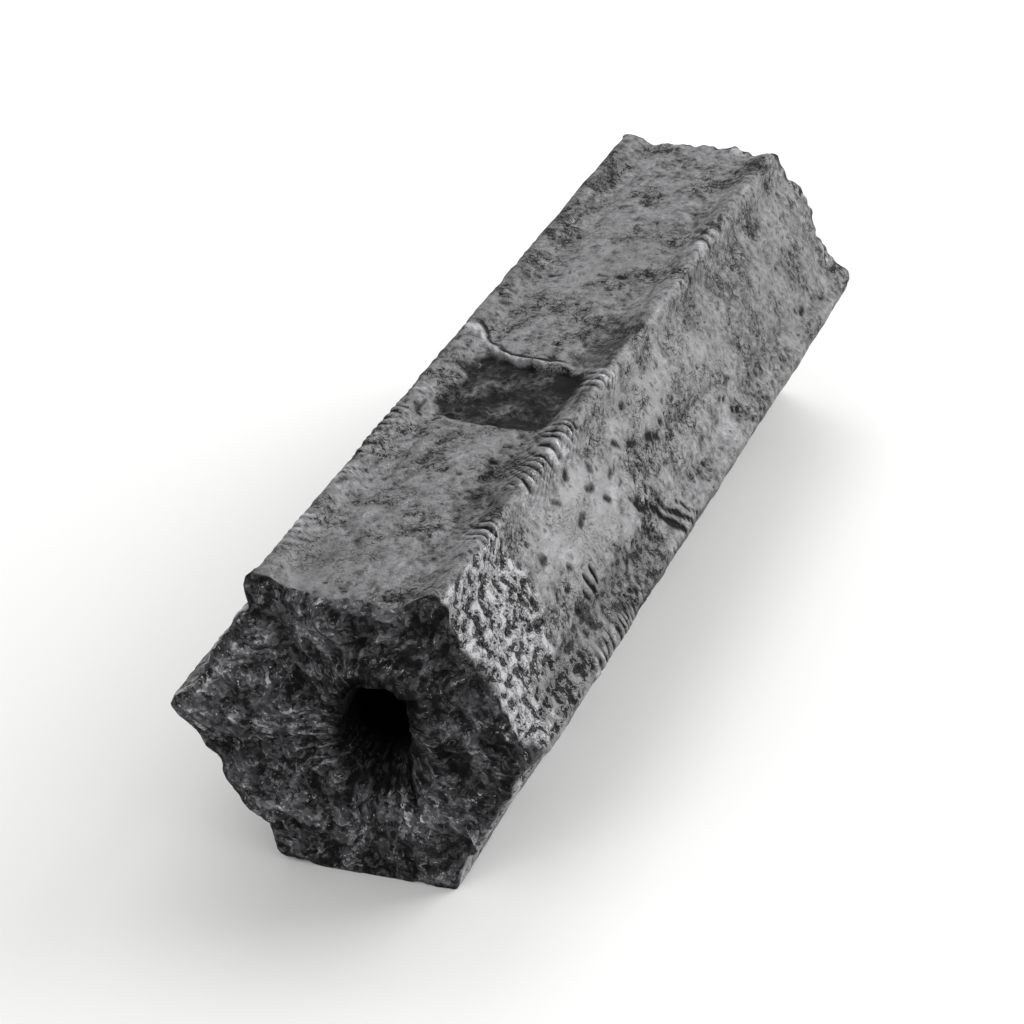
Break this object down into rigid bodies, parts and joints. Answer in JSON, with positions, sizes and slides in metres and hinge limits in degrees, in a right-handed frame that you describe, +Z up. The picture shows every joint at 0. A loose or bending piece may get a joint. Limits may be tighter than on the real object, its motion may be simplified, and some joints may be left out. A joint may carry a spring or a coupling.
{
  "type": "hexagonal charcoal briquette",
  "caption": "Hexagonal stick of pressed and charred sawdust with rounded long ridges, shallow troughs in its faces, a bore along it and broken ends, lying on one long face.",
  "frame": {"origin": "centre of the underside, on the surface that the stick lies on", "axes": "+Z up, +Y along the stick from the end with the chipped ridge in the picture to the far end, +X to the right seen from the near end"},
  "size_m": [0.0508, 0.153, 0.0433],
  "materials": {
    "charcoal": "charred pressed sawdust: dull graphite-grey pressed skin, near-black fibrous broken ends"
  },
  "bodies": {
    "root": {"briquette": "charcoal"}
  },
  "joints": []
}
